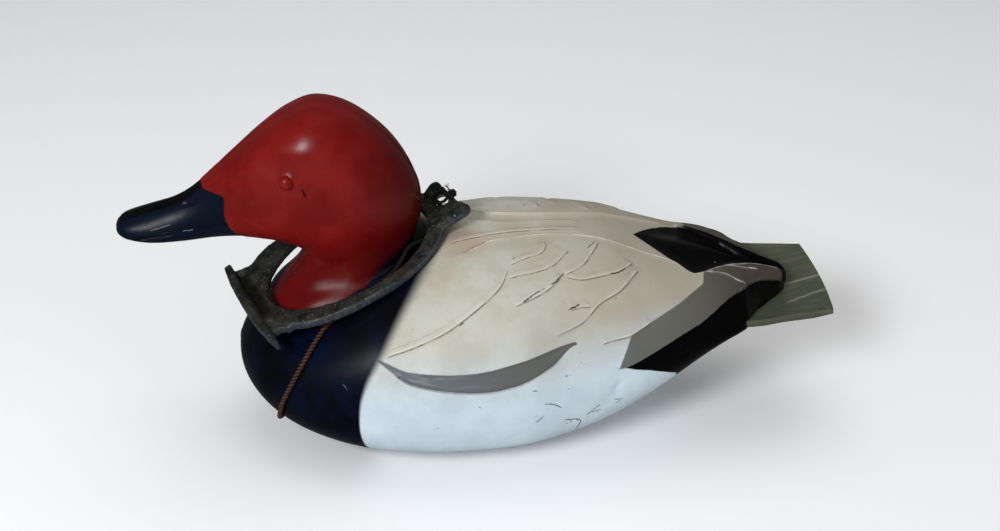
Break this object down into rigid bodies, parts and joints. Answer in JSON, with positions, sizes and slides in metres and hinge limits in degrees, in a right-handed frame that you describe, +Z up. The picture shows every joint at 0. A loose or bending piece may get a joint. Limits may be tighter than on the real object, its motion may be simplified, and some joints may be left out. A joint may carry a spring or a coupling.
{
  "type": "duck decoy",
  "caption": "Painted hollow plastic diving-duck decoy with a cast lead ring anchor resting round its neck and a twisted anchor line tied under the breast.",
  "frame": {"origin": "on the ground under the middle of the bird, halfway along its length and on its centre plane", "axes": "+Z up, the bird looks along -X with its tail at +X, its left side is at -Y"},
  "size_m": [0.3956, 0.1636, 0.1948],
  "materials": {
    "decoy_body": "painted blow-moulded plastic, worn satin",
    "anchor_ring": "cast lead with grey oxide",
    "anchor_line": "brown twisted cord",
    "line_knot": "dark knotted cord"
  },
  "bodies": {
    "root": {"decoy_body": "decoy_body", "anchor_ring": "anchor_ring", "anchor_line": "anchor_line", "line_knot": "line_knot"}
  },
  "joints": []
}
